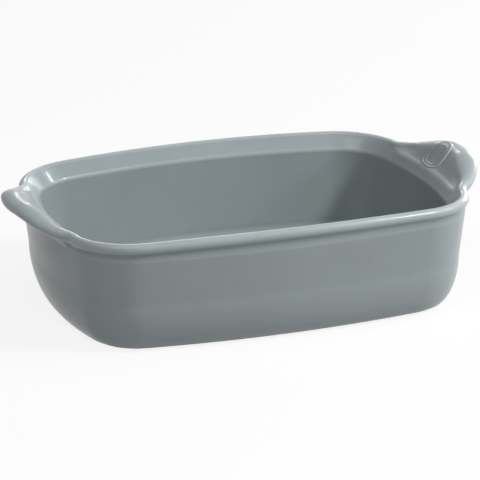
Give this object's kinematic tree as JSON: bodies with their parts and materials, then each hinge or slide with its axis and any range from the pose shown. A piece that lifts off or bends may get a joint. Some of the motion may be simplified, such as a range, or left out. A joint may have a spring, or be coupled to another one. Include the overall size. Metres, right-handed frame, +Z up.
{
  "type": "baking dish",
  "caption": "Deep rectangular glazed stoneware baking dish with bowed sides, a rolled rim, scooped handles at both ends and an oval badge on one handle.",
  "frame": {"origin": "centre of the dish's bounding box, on the plane that its foot ring rests on", "axes": "+Z up, +X along the dish's length towards the handle with the oval badge, +Y across its width"},
  "size_m": [0.3014, 0.1888, 0.0795],
  "materials": {
    "glaze": "satin blue-grey glaze",
    "bare_clay": "unglazed fired stoneware"
  },
  "bodies": {
    "root": {"floor": "glaze", "wall": "glaze", "foot_ring": "bare_clay", "front_rim": "glaze", "back_rim": "glaze", "left_handle": "glaze", "right_handle": "glaze", "handle_medallion": "glaze"}
  },
  "joints": []
}
